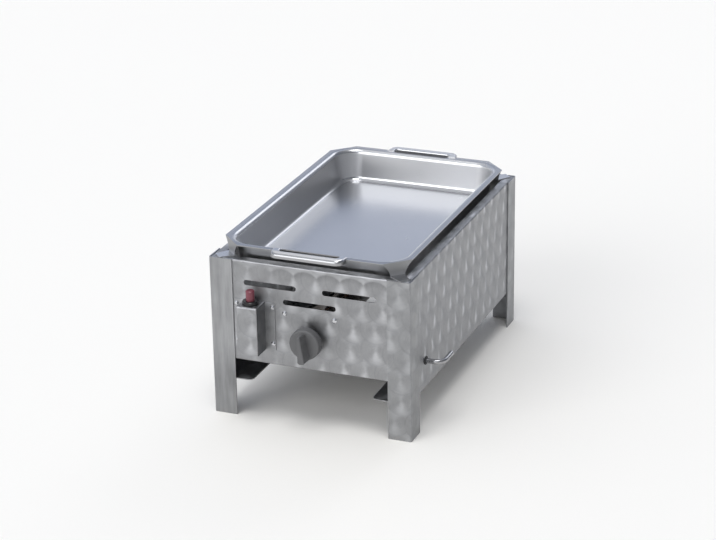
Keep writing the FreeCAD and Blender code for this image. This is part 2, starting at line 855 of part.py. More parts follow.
def make_knob():
    """Control knob: a round base with a tall wedge-shaped grip, built along Z and turned to the front."""
    body = new_body("control_knob")
    profile = new_sketch(body, "XZ_Plane")
    front_radius = knob_radius - knob_taper
    polygon(profile, [(ZERO, ZERO), (knob_radius, ZERO), (front_radius, knob_skirt), (ZERO, knob_skirt)])
    add_revolution(body, profile)
    add_fillet(body, knob_edge, level_ring(knob_skirt, largest=(knob_radius, knob_radius)))

    hollow = new_sketch(body, "XY_Plane")
    circle(hollow, (ZERO, ZERO), knob_radius - knob_taper - knob_wall)
    circle(hollow, (ZERO, ZERO), knob_hub)
    add_pocket(body, hollow, knob_skirt - knob_wall, reverse=True)

    def wedge(level, grow, inset):
        """The grip's section at one level, wider by grow on both sides and shorter by inset at both ends."""
        half_narrow = crest_narrow / 2 + grow
        half_wide = crest_wide / 2 + grow
        top = grip_top - inset
        tip = inset - grip_reach
        top_cut = half_narrow * GRIP_ROUNDING
        tip_cut = half_wide * GRIP_ROUNDING
        section = new_sketch(body, "XY_Plane", level)
        outline = [
            (top_cut - half_narrow, top),
            (-half_narrow, top - top_cut),
            (-half_wide, tip + tip_cut),
            (tip_cut - half_wide, tip),
            (half_wide - tip_cut, tip),
            (half_wide, tip + tip_cut),
            (half_narrow, top - top_cut),
            (half_narrow - top_cut, top),
        ]
        polygon(section, outline)
        return section

    crest = knob_skirt + grip_rise
    foot = wedge(knob_skirt - knob_wall, grip_slope, ZERO)
    shoulder = wedge(crest - grip_edge, ZERO, ZERO)
    add_loft(body, [foot, shoulder, wedge(crest, -grip_edge, grip_edge)])

    bore = new_sketch(body, "XY_Plane")
    d_outline(bore, spindle_radius + running_gap, spindle_flat + running_gap)
    add_pocket(body, bore, spindle_grip + contact_gap, reverse=True)
    face_front(body)
    place(body, ZERO, panel_front - knob_gap, knob_axis)


def d_outline(sketch, radius, flat_distance):
    """A circle cut off by a flat above its centre."""
    half_angle = math.degrees(math.acos(flat_distance.value / radius.value))
    rounded = arc(sketch, (ZERO, ZERO), radius, 90 + half_angle, 450 - half_angle)
    ends = Part.LineSegment(sketch.getPoint(rounded, 2), sketch.getPoint(rounded, 1))
    chord = sketch.addGeometry(ends, False)
    sketch.addConstraint(Sketcher.Constraint("Coincident", rounded, 2, chord, 1))
    sketch.addConstraint(Sketcher.Constraint("Coincident", chord, 2, rounded, 1))
    for end in (1, 2):
        height = Sketcher.Constraint("DistanceY", -1, 1, chord, end, flat_distance.value)
        bind(sketch, height, flat_distance)


def make_spindle():
    """Spindle of the gas tap: a round shaft with a flat where the knob sits."""
    body = new_body("valve_spindle")
    length = spindle_depth + knob_gap + spindle_grip
    shaft = new_sketch(body, "XY_Plane")
    circle(shaft, (ZERO, ZERO), spindle_radius)
    add_pad(body, shaft, length)
    flat_cut = new_sketch(body, "XY_Plane", length)
    rectangle(flat_cut, -spindle_radius * 2, spindle_flat, spindle_radius * 2, spindle_radius * 2)
    add_pocket(body, flat_cut, spindle_grip + spindle_runout)
    face_front(body)
    place(body, ZERO, panel_front + spindle_depth, knob_axis)


def make_plunger():
    """Push rod of the flame failure device, behind the spindle."""
    back = spindle_depth + contact_gap
    profile = [
        (ZERO, ZERO),
        (plunger_radius, ZERO),
        (plunger_radius, plunger_length),
        (ZERO, plunger_length),
    ]
    lay_along_y(turned("valve_plunger", profile), ZERO, panel_front + back, knob_axis)


def make_tap():
    """Gas tap: main barrel with bonnet and outlet, magnet barrel above it, inlet boss to the right."""
    body = new_body("valve_body")
    bonnet_end = bracket_sheet
    barrel_end = bonnet_end + tap_length
    waist = (tap_radius + outlet_radius) / 2
    profile = new_sketch(body, "XZ_Plane")
    barrel = [
        (ZERO, ZERO),
        (bonnet_radius, ZERO),
        (bonnet_radius, bonnet_end),
        (tap_radius, bonnet_end),
        (tap_radius, bonnet_end + tap_shoulder),
        (waist, barrel_end),
        (outlet_radius, barrel_end),
        (outlet_radius, barrel_end + outlet_length),
        (ZERO, barrel_end + outlet_length),
    ]
    polygon(profile, barrel)
    add_revolution(body, profile)

    magnet = new_sketch(body, "XY_Plane", bonnet_end)
    circle(magnet, (ZERO, -magnet_rise), magnet_radius)
    add_pad(body, magnet, magnet_length - magnet_nut_length)
    nut = new_sketch(body, "XY_Plane", bonnet_end)
    circle(nut, (ZERO, -magnet_rise), magnet_nut)
    add_pad(body, nut, magnet_length)
    web = new_sketch(body, "XY_Plane", bonnet_end)
    rectangle(web, magnet_web / -2, -magnet_rise, magnet_web / 2, ZERO)
    add_pad(body, web, tap_shoulder)
    inlet = new_sketch(body, "YZ_Plane")
    circle(inlet, (ZERO, bonnet_end + inlet_setback), inlet_radius)
    add_pad(body, inlet, inlet_reach)

    bore = new_sketch(body, "XY_Plane")
    circle(bore, (ZERO, ZERO), spindle_radius + running_gap)
    bore_depth = spindle_depth - panel_sheet + knob_travel + contact_gap * 2
    add_pocket(body, bore, bore_depth, reverse=True)
    guide = new_sketch(body, "XY_Plane")
    circle(guide, (ZERO, ZERO), plunger_radius + running_gap)
    add_pocket(body, guide, bore_depth + plunger_length, reverse=True)
    lay_along_y(body, ZERO, tap_front, knob_axis)


def make_bracket():
    """Plate behind the front panel that carries the gas tap."""
    body = new_body("valve_bracket")
    plate = new_sketch(body, "XZ_Plane", -panel_inside)
    rectangle(plate, -bracket_half, bracket_top - bracket_height, bracket_half, bracket_top)
    circle(plate, (ZERO, knob_axis), bonnet_radius + hole_gap)
    for side in (-1, 1):
        circle(plate, (valve_screw_spread * side, valve_screw_level), valve_screw_radius + hole_gap)
    add_pad(body, plate, bracket_sheet, reverse=True)
    sides = any_of(edge_along("y", x=bracket_half), edge_along("y", x=-bracket_half))
    add_fillet(body, bracket_corner, sides)


def make_screws(name, places, back, radius, head, length):
    """A group of pan-head screws whose heads face the front and sit on the plane Y = back."""
    screws = []
    for index, (x, z) in enumerate(places):
        profile = [
            (ZERO, -head_height),
            (head * HEAD_CROWN, -head_height),
            (head, head_height * -HEAD_SHOULDER),
            (head, ZERO),
            (radius, ZERO),
            (radius, length),
            (ZERO, length),
        ]
        screw = turned(f"{name}_{index + 1}", profile, keep=False)
        lay_along_y(screw, x, back, z)
        screws.append(screw)
    group = doc.addObject("Part::Compound", name)
    group.Links = screws
    keep_node(name, group)


def make_igniter_box():
    """Hat-section box on the front panel, open above and below, with a shelf for the igniter."""
    body = new_body("igniter_housing")
    half = box_width / 2
    wing = half + box_flange
    inside = half - box_sheet
    near_panel = panel_front - box_sheet

    def x(offset):
        """A coordinate measured from the middle of the box."""
        return box_side + offset

    section = new_sketch(body, "XY_Plane", box_bottom)
    hat = [
        (x(-wing), panel_front),
        (x(-wing), near_panel),
        (x(-half), near_panel),
        (x(-half), box_front),
        (x(half), box_front),
        (x(half), near_panel),
        (x(wing), near_panel),
        (x(wing), panel_front),
        (x(inside), panel_front),
        (x(inside), box_front + box_sheet),
        (x(-inside), box_front + box_sheet),
        (x(-inside), panel_front),
    ]
    polygon(section, hat)
    add_pad(body, section, box_top - box_bottom)
    inner_front = box_front + box_sheet
    add_fillet(body, box_bend - box_sheet, edge_along("z", y=inner_front))
    shelf = new_sketch(body, "XY_Plane", box_top)
    rectangle(shelf, x(-inside), inner_front, x(inside), panel_front - contact_gap)
    circle(shelf, (box_side, igniter_y), igniter_radius + hole_gap)
    add_pad(body, shelf, box_sheet, reverse=True)
    add_fillet(body, box_top_bend - box_sheet, edge_along("x", y=inner_front, z=box_top - box_sheet))
    add_fillet(body, box_top_bend, edge_along("x", y=box_front, z=box_top))
    add_fillet(body, box_bend, edge_along("z", y=box_front))

    wings = new_sketch(body, "XY_Plane", box_flange_top)
    for side in (-1, 1):
        rectangle(wings, x(half * side), near_panel - box_sheet, x((wing + box_sheet) * side), panel_front)
    add_pocket(body, wings, box_top - box_flange_top + box_sheet, reverse=True)
    holes = new_sketch(body, "XZ_Plane", -panel_front)
    for place_x, place_z in box_screw_places():
        circle(holes, (place_x, place_z), box_screw_radius + hole_gap)
    add_pocket(body, holes, box_sheet * THROUGH, both=True)

def make_igniter():
    """Piezo igniter: cartridge under the shelf, ring nut above it and a push button in its bore."""
    bore = button_radius + contact_gap
    bore_floor = collar_top - button_tail - button_travel - contact_gap * 2
    body_top = collar_top - collar_lip
    cartridge = [
        (ZERO, igniter_bottom),
        (button_radius, igniter_bottom),
        (button_radius, igniter_bottom + igniter_tail),
        (igniter_shoulder, igniter_bottom + igniter_tail),
        (igniter_shoulder, box_top - box_sheet),
        (igniter_radius, box_top - box_sheet),
        (igniter_radius, body_top),
        (bore, body_top),
        (bore, bore_floor),
        (ZERO, bore_floor),
    ]
    place(turned("igniter_body", cartridge), box_side, igniter_y, ZERO)
    collar = [
        (igniter_radius, box_top),
        (collar_radius, box_top),
        (collar_radius, collar_top - collar_chamfer),
        (collar_radius - collar_chamfer, collar_top),
        (bore, collar_top),
        (bore, body_top),
        (igniter_radius, body_top),
    ]
    place(turned("igniter_collar", collar), box_side, igniter_y, ZERO)
    button_top = collar_top + button_rise
    button = [
        (ZERO, collar_top - button_tail),
        (button_radius, collar_top - button_tail),
        (button_radius, button_top - button_chamfer),
        (button_radius - button_chamfer, button_top),
        (ZERO, button_top),
    ]
    place(turned("igniter_button", button), box_side, igniter_y, ZERO)


def make_burner_tube():
    """Burner tube with a row of flame slits across its top."""
    body = new_body("burner_tube")
    ring = new_sketch(body, "XZ_Plane", -burner_front)
    circle(ring, (ZERO, knob_axis), burner_radius)
    circle(ring, (ZERO, knob_axis), burner_radius - burner_wall)
    add_pad(body, ring, burner_length, reverse=True)
    slit = new_sketch(body, "XY_Plane", knob_axis + burner_radius)
    rectangle(slit, slit_length / -2, slit_start, slit_length / 2, slit_start + slit_width)
    first = add_pocket(body, slit, slit_depth)
    row = body.newObject("PartDesign::LinearPattern", "burner_slits")
    row.Originals = [first]
    row.Direction = (origin_part(body, "Y_Axis"), [""])
    row.setExpression("Length", slit_span.text)
    row.setExpression("Occurrences", slit_count.text)
    body.Tip = row
    doc.recompute()


def make_mixer():
    """Venturi in front of the burner tube: an air chamber with windows, a throat and a sleeve."""
    front_hole = injector_radius + hole_gap
    chamber_inside = burner_radius - mixer_wall
    sleeve_radius = burner_radius - burner_wall
    shoulder = mixer_length
    throat_level = (mixer_chamber + shoulder) / 2
    end = shoulder + mixer_sleeve
    profile = [
        (front_hole, ZERO),
        (burner_radius, ZERO),
        (burner_radius, mixer_chamber),
        (mixer_throat + mixer_wall, throat_level),
        (burner_radius, shoulder - mixer_wall),
        (burner_radius, shoulder),
        (sleeve_radius, shoulder),
        (sleeve_radius, end),
        (sleeve_radius - mixer_wall, end),
        (sleeve_radius - mixer_wall, shoulder - mixer_wall),
        (mixer_throat, throat_level),
        (chamber_inside, mixer_chamber - mixer_wall),
        (chamber_inside, mixer_wall),
        (front_hole, mixer_wall),
    ]
    body = turned("burner_mixer", profile)
    middle = mixer_chamber / 2
    low = middle - air_window_length / 2
    high = middle + air_window_length / 2
    for plane in ("XZ_Plane", "YZ_Plane"):
        window = new_sketch(body, plane)
        rectangle(window, air_window_width / -2, low, air_window_width / 2, high)
        add_pocket(body, window, burner_radius * THROUGH, both=True)
    lay_along_y(body, ZERO, mixer_front, knob_axis)


def make_end_cap():
    """Plug that closes the far end of the burner tube."""
    plug = burner_radius - burner_wall
    profile = [
        (ZERO, -cap_plug),
        (plug, -cap_plug),
        (plug, ZERO),
        (burner_radius, ZERO),
        (burner_radius, cap_thickness),
        (ZERO, cap_thickness),
    ]
    lay_along_y(turned("burner_end_cap", profile), ZERO, burner_end, knob_axis)


def make_injector():
    """Gas jet on the outlet of the tap."""
    profile = [
        (outlet_radius, -outlet_length),
        (injector_radius, -outlet_length),
        (injector_radius, injector_base - outlet_length),
        (injector_nose, injector_base - outlet_length + injector_nose),
        (injector_nose, injector_length - outlet_length),
        (jet_radius, injector_length - outlet_length),
        (jet_radius, ZERO),
        (outlet_radius, ZERO),
    ]
    lay_along_y(turned("injector", profile), ZERO, outlet_end, knob_axis)


def make_support(name, y, with_probes):
    """Upright sheet bracket that stands on the side panels' bottom flanges and holds the burner tube."""
    body = new_body(name)
    crown = knob_axis + burner_radius + support_crown
    knee = flange_top + support_shoulder
    waist = burner_radius + support_web
    inner = support_half - support_post
    under = knob_axis - waist
    face = new_sketch(body, "XZ_Plane", -y)
    outline = [
        (-support_half, flange_top),
        (-inner, flange_top),
        (-inner, knee - support_post),
        (-waist, under),
        (waist, under),
        (inner, knee - support_post),
        (inner, flange_top),
        (support_half, flange_top),
        (support_half, knee),
        (waist, knob_axis + support_web),
        (support_neck, crown),
        (-support_neck, crown),
        (-waist, knob_axis + support_web),
        (-support_half, knee),
    ]
    polygon(face, outline)
    circle(face, (ZERO, knob_axis), burner_radius)
    if with_probes:
        for side in (-1, 1):
            circle(face, (probe_spread * side, probe_level), probe_radius + hole_gap)
    add_pad(body, face, support_sheet, reverse=True)
    tabs = new_sketch(body, "XY_Plane", flange_top)
    for side in (-1, 1):
        rectangle(tabs, inner * side, y, support_half * side, y + support_tab)
    add_pad(body, tabs, support_sheet)


def make_probe(name, side, tip_radius):
    """Flame probe or spark electrode: a rod with a shoulder against the front support."""
    shoulder = -probe_collar_length
    profile = [
        (ZERO, shoulder - probe_tail),
        (probe_radius, shoulder - probe_tail),
        (probe_radius, shoulder),
        (probe_collar, shoulder),
        (probe_collar, ZERO),
        (probe_radius, ZERO),
        (probe_radius, probe_nose),
        (tip_radius, probe_nose),
        (tip_radius, probe_nose + probe_tip - tip_radius),
        (tip_radius * PROBE_POINT, probe_nose + probe_tip),
        (ZERO, probe_nose + probe_tip),
    ]
    lay_along_y(turned(name, profile), probe_spread * side, support_front, probe_level)


def bent_path(points, bend):
    """Straight runs joined by tangent arcs of one radius."""
    edges = []
    start = points[0]
    for before, corner, after in zip(points, points[1:], points[2:]):
        back = (before - corner).normalize()
        ahead = (after - corner).normalize()
        half_turn = (math.pi - back.getAngle(ahead)) / 2
        setback = bend * math.tan(half_turn)
        arc_start = corner + back * setback
        arc_end = corner + ahead * setback
        bisector = (back + ahead).normalize()
        middle = corner + bisector * (bend / math.cos(half_turn) - bend)
        edges.append(Part.LineSegment(start, arc_start).toShape())
        edges.append(Part.Arc(arc_start, middle, arc_end).toShape())
        start = arc_end
    edges.append(Part.LineSegment(start, points[-1]).toShape())
    return Part.Wire(edges)


def round_sweep(path, radius):
    """A solid of round section along a path."""
    first = path.Edges[0]
    direction = first.tangentAt(first.FirstParameter)
    ring = Part.Wire(Part.makeCircle(radius, path.Vertexes[0].Point, direction))
    return path.makePipeShell([ring], True, False)


def keep_shape(name, shape):
    """A node whose shape comes straight from the sizes."""
    feature = doc.addObject("Part::Feature", name)
    feature.Shape = shape
    feature.Placement = FreeCAD.Placement()
    return keep_node(name, feature)


def make_supply_pipe():
    """Gas pipe from the tap's inlet, out through the right panel and turned to the back."""
    slant_end = inlet_reach + pipe_start_run + pipe_slant_run
    points = [
        vector(inlet_reach, inlet_y, knob_axis),
        vector(inlet_reach + pipe_start_run, inlet_y, knob_axis),
        vector(slant_end, pipe_y, pipe_level),
        vector(pipe_reach, pipe_y, pipe_level),
        vector(pipe_reach, pipe_y + pipe_end_run, pipe_level),
    ]
    path = bent_path(points, pipe_bend.value)
    tube = round_sweep(path, pipe_radius.value).cut(round_sweep(path, pipe_bore.value))
    keep_shape("supply_pipe", tube)


def make_pipe_nut():
    """Hexagon union nut that holds the pipe on the tap's inlet."""
    body = new_body("pipe_nut")
    hexagon = new_sketch(body, "XY_Plane")
    corners = []
    for index in range(6):
        angle = math.radians(60 * index)
        corners.append((pipe_nut_radius * math.cos(angle), pipe_nut_radius * math.sin(angle)))
    polygon(hexagon, corners)
    circle(hexagon, (ZERO, ZERO), pipe_radius + running_gap)
    add_pad(body, hexagon, pipe_nut_length)
    socket = new_sketch(body, "XY_Plane")
    circle(socket, (ZERO, ZERO), inlet_radius)
    add_pocket(body, socket, pipe_nut_lap, reverse=True)
    turn(body, Vector(0, 1, 0), 90)
    place(body, inlet_reach - pipe_nut_lap, inlet_y, knob_axis)


def make_grommet():
    """Bush of the gas pipe in the right panel."""
    half = panel_sheet / 2
    edge = half + grommet_flange
    profile = [
        (pipe_radius, -edge),
        (grommet_radius - grommet_flange / 2, -edge),
        (grommet_radius, -half),
        (grommet_hole, -half),
        (grommet_hole, half),
        (grommet_radius, half),
        (grommet_radius - grommet_flange / 2, edge),
        (pipe_radius, edge),
    ]
    body = turned("pipe_grommet", profile)
    turn(body, Vector(0, 1, 0), 90)
    place(body, side_face - half, pipe_y, pipe_level)


def make_leads():
    """Copper lead of the thermocouple, and the spark lead from the igniter to the electrode."""
    probe_back = support_front - probe_collar_length - probe_tail
    points = [
        vector(ZERO, magnet_end, magnet_level),
        vector(ZERO, magnet_end + lead_run, magnet_level),
        vector(probe_spread, probe_back - lead_run, probe_level),
        vector(probe_spread, probe_back, probe_level),
    ]
    path = bent_path(points, lead_bend.value)
    keep_shape("thermocouple_lead", round_sweep(path, probe_lead_radius.value))

    behind_panel = panel_inside + lead_setback
    points = [
        vector(-probe_spread, probe_back, probe_level),
        vector(-probe_spread, probe_back - lead_run * 2, probe_level),
        vector((box_side - probe_spread) / 2, behind_panel + lead_run, (probe_level + lead_hole_level) / 2),
        vector(box_side, behind_panel, lead_hole_level),
        vector(box_side, igniter_y, lead_hole_level),
        vector(box_side, igniter_y, igniter_bottom),
    ]
    path = bent_path(points, lead_bend.value)
    keep_shape("electrode_lead", round_sweep(path, spark_lead_radius.value))


# Stand
make_leg("leg_front_left", -1, -1, 0)
make_leg("leg_front_right", 1, -1, 90)
make_leg("leg_rear_right", 1, 1, 180)
make_leg("leg_rear_left", -1, 1, 270)
front_panel = make_end_panel("front_panel", -1)
cut_front_openings(front_panel)
make_end_panel("rear_panel", 1)
make_side_panel("left_side_panel", -1)
right_panel = make_side_panel("right_side_panel", 1)
cut_pipe_hole(right_panel)

# Pan and its handles
make_pan()
make_handle("pan_handle_front", 0)
make_handle("pan_handle_rear", 180)

# Gas tap, knob and pipe
make_tap()
make_bracket()
make_spindle()
make_plunger()
make_knob()
make_screws(
    "valve_screws",
    [(valve_screw_spread * side, valve_screw_level) for side in (-1, 1)],
    panel_front,
    valve_screw_radius,
    valve_screw_head,
    valve_screw_length,
)
make_supply_pipe()
make_pipe_nut()
make_grommet()

# Burner
make_injector()
make_mixer()
make_burner_tube()
make_end_cap()
make_support("burner_support_front", support_front, True)
make_support("burner_support_rear", support_rear, False)
make_probe("thermocouple", 1, thermocouple_tip_radius)
make_probe("ignition_electrode", -1, electrode_tip_radius)

# Igniter
make_igniter_box()
make_screws(
    "igniter_screws",
    box_screw_places(),
    panel_front - box_sheet,
    box_screw_radius,
    box_screw_head,
    box_screw_length,
)
make_igniter()
make_leads()

doc.recompute()
for feature in doc.Objects:
    if "Invalid" in feature.State or "Error" in feature.State:
        raise RuntimeError(f"{feature.Label} failed: {feature.State}")
for node in nodes:
    if node.Shape.isNull() or not node.Shape.isValid() or node.Shape.Volume <= 0:
        raise RuntimeError(f"{node.Label} has no valid shape")

os.makedirs("parts", exist_ok=True)
for node in nodes:
    node.Shape.exportStep(f"parts/{node.Label}.step")
    print(f"{node.Label}: {len(node.Shape.Solids)} solid(s), {node.Shape.Volume:.1f} mm3")
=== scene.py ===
"""Looks of the table-top gas roaster: materials, floor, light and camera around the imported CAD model."""
import math
import bpy
from mathutils import Matrix, Vector

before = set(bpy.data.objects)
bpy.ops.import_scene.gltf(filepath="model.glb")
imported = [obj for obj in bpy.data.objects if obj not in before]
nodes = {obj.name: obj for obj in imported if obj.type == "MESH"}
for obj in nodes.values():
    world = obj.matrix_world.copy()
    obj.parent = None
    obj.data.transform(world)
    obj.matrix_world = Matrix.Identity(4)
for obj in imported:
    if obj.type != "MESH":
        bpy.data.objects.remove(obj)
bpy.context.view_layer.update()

MM = 0.001
WHITE = (1.0, 1.0, 1.0)

# A face looks along an axis when its normal has more than this much of it
FACING = 0.7
# Edges are rubbed this far in
SHEET_WEAR = 0.7 * MM
METAL_WEAR = 0.5 * MM
PLASTIC_WEAR = 0.6 * MM

# Brushed discs of the turned sheet, with a small hub where their lines have no direction
DISC_RADIUS = 25 * MM
DISC_HUB = 0.2 * MM
DISC_PITCH = 38 * MM
DISC_JITTER = (5 * MM, 4 * MM)
# Scales of their lines: outwards, around, and from disc to disc
LINE_SCALES = (1100.0, 0.8, 40.0)
# Rows of discs: a row strays by up to this share of the pitch, by a random draw of its own
ROW_STEP = 35 * MM
ROW_LEAN = 9 * MM
ROW_STRAY = 0.3
ROW_DRAW = 7.0
# Left of where the light catches the sheet, painted fans and tops fade to this share over this width
FADED_SHARE = 0.2
FADED_WIDTH = 40 * MM
# Rounded tops of the uppermost row, painted shade just inside them and painted highlight above: their
# radius, and the heights where their two sides start and are full, downwards from the row's upper edge
TOP_ARCH = 27 * MM
TOP_INSIDE = (24 * MM, 9 * MM)
TOP_OUTSIDE = (12 * MM, 8 * MM)

# Bright fan of a disc, a painted highlight: its apex above the disc's middle, and three heights downwards
# from the apex
FAN_APEX = 10 * MM
FAN_FULL = 19 * MM
FAN_FADES = 22 * MM
FAN_END = 35 * MM
# The fan's half width at its apex, its sway to the sides, its least share of the full tone, and that tone
FAN_TIP = 2 * MM
FAN_SWAY = 14 * MM
FAN_FAINTEST = 0.3
FAN_PAINTED_HIGHLIGHT = 0.36

# Brushing directions, a little off the axes so that no flat face is square to them
UPRIGHT_GRAIN = (0.06, 0.09, 1.0)
LENGTHWISE_GRAIN = (0.06, 1.0, 0.09)

# Height up to which a foot tone reaches
FOOT_HEIGHT = 140 * MM

# Where the pan's finish and its painted shade change, each from none to full: by height, by depth and, for
# the outer walls, by how far a face lies out along its own normal
RIM_HEIGHT = (262 * MM, 270 * MM)
TOP_HEIGHT = (280 * MM, 283 * MM)
END_FLANGE = (231 * MM, 237 * MM)
HANDLE_BAR = (-251 * MM, -256 * MM)
OUTER_WALL = (30 * MM, 110 * MM)


class Graph:
    """One material's node tree. Values may be sockets or plain numbers."""

    def __init__(self, name):
        self.material = bpy.data.materials.new(name)
        self.material.use_nodes = True
        self.tree = self.material.node_tree
        self.tree.nodes.clear()
        self.shader = self.add("ShaderNodeBsdfPrincipled")
        output = self.add("ShaderNodeOutputMaterial")
        self.tree.links.new(self.shader.outputs["BSDF"], output.inputs["Surface"])

    def add(self, kind, **settings):
        node = self.tree.nodes.new(kind)
        for name, value in settings.items():
            setattr(node, name, value)
        return node

    def feed(self, socket, value):
        """Link a socket to another, or set it to a plain value."""
        if isinstance(value, bpy.types.NodeSocket):
            self.tree.links.new(value, socket)
        elif isinstance(value, tuple) and socket.type == "RGBA":
            socket.default_value = (*value, 1.0)
        else:
            socket.default_value = value

    def math(self, operation, *values):
        node = self.add("ShaderNodeMath", operation=operation)
        for socket, value in zip(node.inputs, values):
            self.feed(socket, value)
        return node.outputs[0]

    def minus(self, first, second):
        return self.math("SUBTRACT", first, second)

    def times(self, first, *others):
        for other in others:
            first = self.math("MULTIPLY", first, other)
        return first

    def gain(self, base, part, amount):
        """A base plus an amount of a part."""
        return self.math("MULTIPLY_ADD", part, amount, base)

    def vary(self, base, pattern, amount):
        """A base that swings with a pattern about its middle of 0.5."""
        return self.gain(base, self.minus(pattern, 0.5), amount)

    def vector(self, operation, *values):
        node = self.add("ShaderNodeVectorMath", operation=operation)
        for socket, value in zip(node.inputs, values):
            self.feed(socket, value)
        return node.outputs["Value" if operation in ("DOT_PRODUCT", "LENGTH") else "Vector"]

    def join(self, x, y, z):
        node = self.add("ShaderNodeCombineXYZ")
        for socket, value in zip(node.inputs, (x, y, z)):
            self.feed(socket, value)
        return node.outputs[0]

    def split(self, vector):
        node = self.add("ShaderNodeSeparateXYZ")
        self.feed(node.inputs[0], vector)
        return node.outputs

    def between(self, kind, suffix, factor, first, second):
        """A value between two of one kind, whose sockets end in the suffix."""
        node = self.add("ShaderNodeMix", data_type=kind)
        inputs = {socket.identifier: socket for socket in node.inputs}
        self.feed(inputs["Factor_Float"], factor)
        self.feed(inputs["A_" + suffix], first)
        self.feed(inputs["B_" + suffix], second)
        return next(socket for socket in node.outputs if socket.identifier == "Result_" + suffix)

    def mix(self, factor, first, second):
        """A number between two numbers."""
        return self.between("FLOAT", "Float", factor, first, second)

    def blend(self, factor, first, second):
        """A colour between two colours."""
        return self.between("RGBA", "Color", factor, first, second)

    def choose(self, factor, first, second):
        """The first vector at 0, the second at 1."""
        return self.between("VECTOR", "Vector", factor, first, second)

    def span(self, value, low, high, start=0.0, end=1.0, smooth=False):
        """Map a value from low..high to start..end, held at the ends."""
        kind = "SMOOTHSTEP" if smooth else "LINEAR"
        node = self.add("ShaderNodeMapRange", interpolation_type=kind, clamp=True)
        for socket, number in zip(node.inputs, (value, low, high, start, end)):
            self.feed(socket, number)
        return node.outputs[0]

    def noise(self, vector, scale, detail=2.0, roughness=0.5):
        node = self.add("ShaderNodeTexNoise")
        self.feed(node.inputs["Vector"], vector)
        self.feed(node.inputs["Scale"], scale)
        self.feed(node.inputs["Detail"], detail)
        self.feed(node.inputs["Roughness"], roughness)
        return node.outputs["Fac"]

    def stretched_noise(self, vector, scales, roughness=0.5):
        """A noise with a scale for each axis."""
        return self.noise(self.vector("MULTIPLY", vector, scales), 1.0, 3.0, roughness)

    def random(self, x, y, z):
        """Three fixed random numbers for a cell."""
        node = self.add("ShaderNodeTexWhiteNoise", noise_dimensions="3D")
        self.feed(node.inputs["Vector"], self.join(x, y, z))
        return self.split(node.outputs["Color"])

    def place(self):
        """Coordinates and normal of the point, in the CAD frame at rest."""
        node = self.add("ShaderNodeTexCoord")
        return node.outputs["Object"], node.outputs["Normal"]

    def edges(self, radius):
        """1 on the sharp edges, 0 elsewhere."""
        bevel = self.add("ShaderNodeBevel", samples=4)
        bevel.inputs["Radius"].default_value = radius
        geometry = self.add("ShaderNodeNewGeometry")
        turn = self.vector("DOT_PRODUCT", bevel.outputs["Normal"], geometry.outputs["Normal"])
        return self.span(turn, 0.995, 0.8)

    def tint(self, colour, factor):
        """A fixed colour times a varying factor."""
        node = self.add("ShaderNodeVectorMath", operation="SCALE")
        node.inputs[0].default_value = colour
        self.feed(node.inputs["Scale"], factor)
        return node.outputs["Vector"]

    def across_grain(self, normal, grain):
        """The direction on a face that crosses its brushing."""
        return self.vector("NORMALIZE", self.vector("CROSS_PRODUCT", normal, grain))

    def bump(self, height, distance, strength):
        node = self.add("ShaderNodeBump")
        self.feed(node.inputs["Height"], height)
        node.inputs["Distance"].default_value = distance
        node.inputs["Strength"].default_value = strength
        self.feed(self.shader.inputs["Normal"], node.outputs["Normal"])

    def lean(self, towards):
        """Lean the normal under the bump, as on a sheet that isn't quite flat."""
        geometry = self.add("ShaderNodeNewGeometry")
        leaned = self.vector("ADD", geometry.outputs["Normal"], towards)
        bump = self.shader.inputs["Normal"].links[0].from_node
        self.feed(bump.inputs["Normal"], self.vector("NORMALIZE", leaned))

    def set(self, **sockets):
        for name, value in sockets.items():
            self.feed(self.shader.inputs[name.replace("_", " ").title()], value)


def sheet_axes(graph):
    """Across and up along a flat sheet, whichever way it faces, and whether it faces sideways or up."""
    place, normal = graph.place()
    x, y, z = graph.split(place)
    facing = graph.split(graph.vector("ABSOLUTE", normal))
    faces_side = graph.math("GREATER_THAN", facing[0], FACING)
    faces_up = graph.math("GREATER_THAN", facing[2], FACING)
    u = graph.mix(faces_side, x, y)
    v = graph.mix(faces_up, z, y)
    return place, u, v, faces_side, faces_up


def on_sheet(graph, along, above, faces_side, faces_up):
    """A direction on a sheet as a vector of the frame."""
    front = graph.join(along, 0.0, above)
    side = graph.join(0.0, along, above)
    flat = graph.join(along, above, 0.0)
    return graph.choose(faces_up, graph.choose(faces_side, front, side), flat)


def row_shift(graph, row, pitch, start, seed):
    """Where a row of discs starts: it leans on from the row below it and strays a little."""
    stray = graph.random(row, seed, ROW_DRAW)[0]
    return graph.gain(graph.gain(start[0], stray, ROW_STRAY * pitch), row, ROW_LEAN)


def brushed_discs(graph, u, v, pitch, start, seed):
    """Overlapping brushed discs: offset from the middle of the topmost one, and a random number of it.

    Upper rows lie over lower ones."""
    row_below = graph.math("FLOOR", graph.math("DIVIDE", graph.minus(v, start[1]), ROW_STEP))
    topmost = None
    for step in (0.0, 1.0):
        row = graph.math("ADD", row_below, step)
        shift = row_shift(graph, row, pitch, start, seed)
        column_left = graph.math("FLOOR", graph.math("DIVIDE", graph.minus(u, shift), pitch))
        for side in (0.0, 1.0):
            column = graph.math("ADD", column_left, side)
            jitter_u, jitter_v, mark = graph.random(column, row, seed)
            middle_u = graph.vary(graph.gain(shift, column, pitch), jitter_u, DISC_JITTER[0])
            middle_v = graph.vary(graph.gain(start[1], row, ROW_STEP), jitter_v, DISC_JITTER[1])
            offset = graph.join(graph.minus(u, middle_u), graph.minus(v, middle_v), mark)
            if topmost is None:
                topmost = offset
                continue
            flat_offset = graph.vector("MULTIPLY", offset, (1.0, 1.0, 0.0))
            inside = graph.math("LESS_THAN", graph.vector("LENGTH", flat_offset), DISC_RADIUS)
            topmost = graph.choose(inside, topmost, offset)
    return graph.split(topmost)


